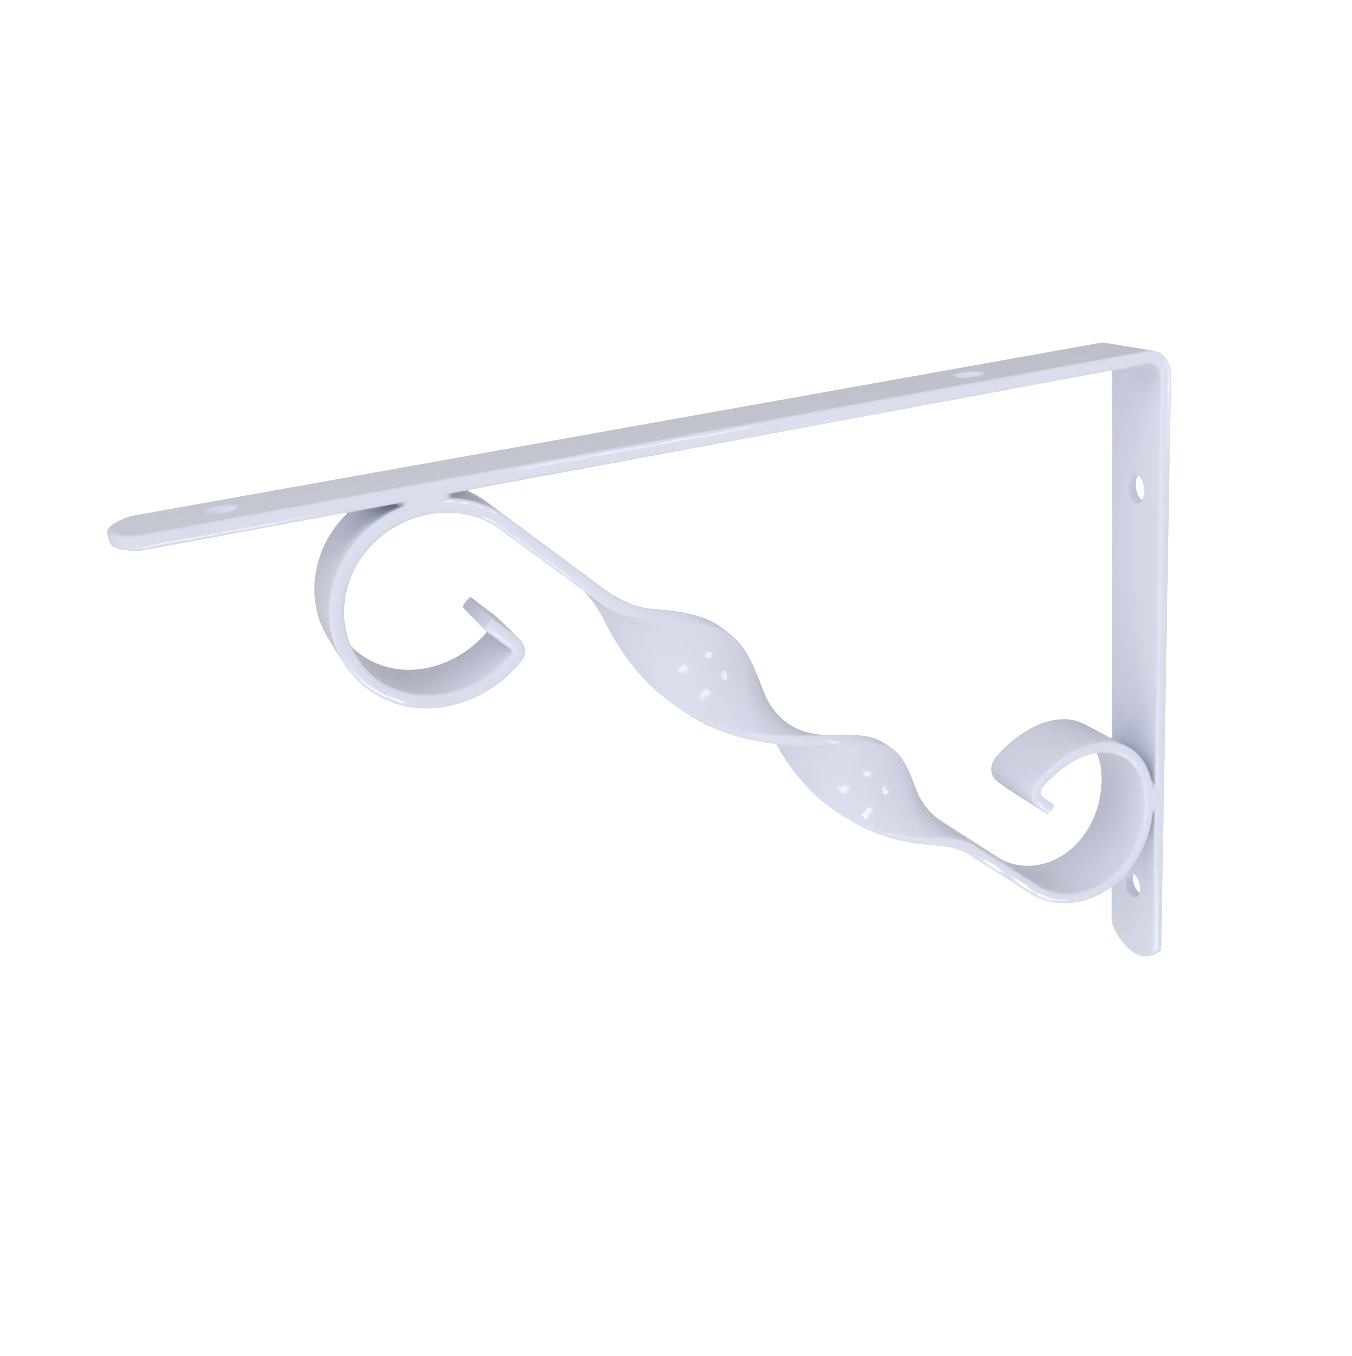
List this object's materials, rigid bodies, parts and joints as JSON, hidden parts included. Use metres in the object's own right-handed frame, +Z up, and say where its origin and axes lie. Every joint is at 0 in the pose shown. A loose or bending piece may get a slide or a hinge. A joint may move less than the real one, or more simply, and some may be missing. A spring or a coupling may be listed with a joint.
{
  "type": "shelf bracket",
  "caption": "Flat-bar steel shelf bracket in gloss white: a level arm and a wall leg with screw holes, braced by a diagonal bar with a full twist and a scroll at each end.",
  "frame": {"origin": "centre of the leg's flat back face, where it lies on the wall", "axes": "+X out from the wall along the arm, +Y across the bar's width, +Z up to the shelf"},
  "size_m": [0.25, 0.022, 0.176],
  "materials": {
    "angle_bar_paint": "gloss white powder coat over mild steel",
    "scroll_brace_paint": "gloss white powder coat over mild steel"
  },
  "bodies": {
    "root": {"angle_bar": "angle_bar_paint", "scroll_brace": "scroll_brace_paint"}
  },
  "joints": []
}
